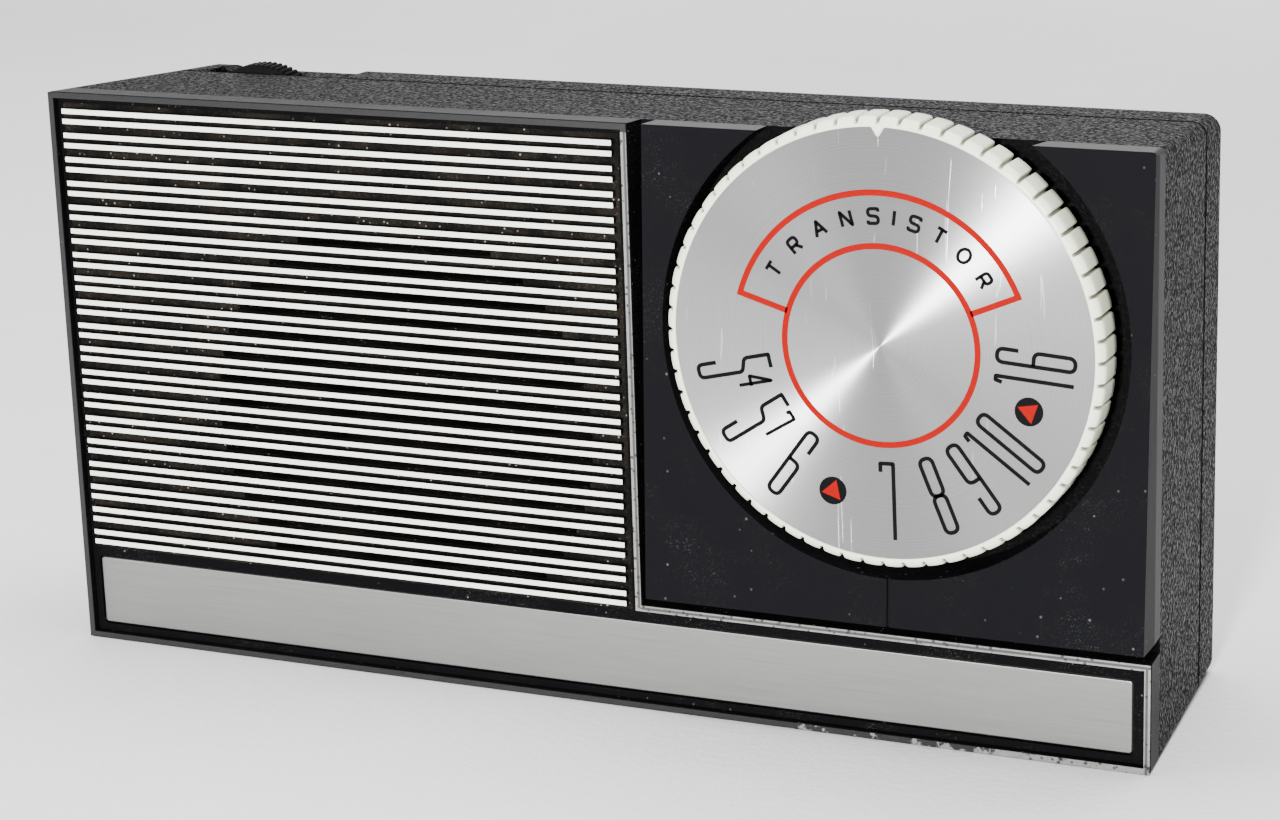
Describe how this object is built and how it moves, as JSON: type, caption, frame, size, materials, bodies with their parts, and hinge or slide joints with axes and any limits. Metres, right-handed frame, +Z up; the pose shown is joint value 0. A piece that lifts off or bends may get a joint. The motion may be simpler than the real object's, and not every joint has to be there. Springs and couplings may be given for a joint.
{
  "type": "transistor pocket radio",
  "caption": "Wide two-shell transistor radio with a barred grille, a large knurled tuning dial, a thumbwheel and its inner works.",
  "frame": {"origin": "bottom centre of the whole object's box, on the surface that it stands on", "axes": "+X to the right seen from the front, +Y to the rear, +Z up; the grille and dial face -Y"},
  "size_m": [0.158, 0.045, 0.0836],
  "materials": {
    "case_black": "leather-grained",
    "screw_steel": "plated",
    "bezel_black": "gloss",
    "silver_foil": "worn foil",
    "grille_black": "satin",
    "bar_white": "satin",
    "brushed_plate": "brushed",
    "panel_black": "gloss",
    "dial_white": "satin",
    "spun_aluminium": "spun",
    "shaft_brass": "turned",
    "capacitor_plastic": "moulded",
    "can_steel": "plated",
    "wheel_black": "satin",
    "board_phenolic": "laminate",
    "ferrite": "sintered",
    "lamination_steel": "stacked",
    "winding_tape": "taped",
    "transistor_paint": "painted",
    "electrolytic_sleeve": "sleeved",
    "disc_ceramic": "waxed",
    "resistor_brown": "moulded",
    "litz_coil": "silk-covered wire",
    "bracket_plastic": "moulded",
    "cone_paper": "paper",
    "magnet_steel": "plated",
    "speaker_cloth": "woven",
    "battery_jacket": "printed",
    "snap_vinyl": "vinyl",
    "lead_red": "insulated",
    "lead_black": "insulated",
    "lead_green": "insulated",
    "jack_plastic": "moulded"
  },
  "bodies": {
    "case": {"front_case": "case_black", "grille_bezel": "bezel_black", "bezel_trim": "silver_foil", "grille_insert": "grille_black", "grille_bars": "bar_white", "nameplate": "brushed_plate", "dial_panel": "panel_black", "tuning_capacitor": "capacitor_plastic", "trimmer_screws": "shaft_brass", "capacitor_screws": "screw_steel", "volume_control": "can_steel", "circuit_board": "board_phenolic", "board_screws": "screw_steel", "coil_cans": "can_steel", "coil_cores": "ferrite", "transformer_cores": "lamination_steel", "transformer_windings": "winding_tape", "transistors": "transistor_paint", "electrolytic_capacitors": "electrolytic_sleeve", "disc_capacitors": "disc_ceramic", "resistors": "resistor_brown", "ferrite_rod": "ferrite", "antenna_coil": "litz_coil", "antenna_brackets": "bracket_plastic", "speaker_frame": "can_steel", "speaker_surround": "cone_paper", "speaker_magnet": "magnet_steel", "speaker_cloth": "speaker_cloth", "speaker_clips": "screw_steel", "clip_screws": "screw_steel", "battery": "battery_jacket", "battery_terminals": "screw_steel", "battery_snap": "snap_vinyl", "battery_lead_red": "lead_red", "battery_lead_black": "lead_black", "speaker_leads": "lead_green", "earphone_jack": "jack_plastic", "jack_nut": "screw_steel"},
    "back": {"back_cover": "case_black", "cover_screw": "screw_steel"},
    "dial": {"tuning_dial": "dial_white", "dial_face": "spun_aluminium", "dial_screw": "screw_steel", "tuning_shaft": "shaft_brass"},
    "volume": {"volume_wheel": "wheel_black", "wheel_screw": "screw_steel", "volume_shaft": "shaft_brass"},
    "cone": {"speaker_cone": "cone_paper", "speaker_dust_cap": "cone_paper", "voice_coil": "shaft_brass"}
  },
  "joints": [
    {"name": "tuning_turn", "type": "hinge", "parent": "case", "child": "dial", "pos_m": [0.04525, -0.01748, 0.0546], "axis": [0, 1, 0], "range_deg": [-88, 88]},
    {"name": "volume_turn", "type": "hinge", "parent": "case", "child": "volume", "pos_m": [-0.064, 0.01452, 0.0682], "axis": [0, 1, 0], "range_deg": [0, 300]},
    {"name": "back_lift_off", "type": "slide", "parent": "case", "child": "back", "axis": [0, 1, 0], "range_m": [0, 0.06]},
    {"name": "cone_travel", "type": "slide", "parent": "case", "child": "cone", "axis": [0, 1, 0], "range_m": [-0.0006, 0.0006], "stiffness_N_per_m": 300}
  ]
}
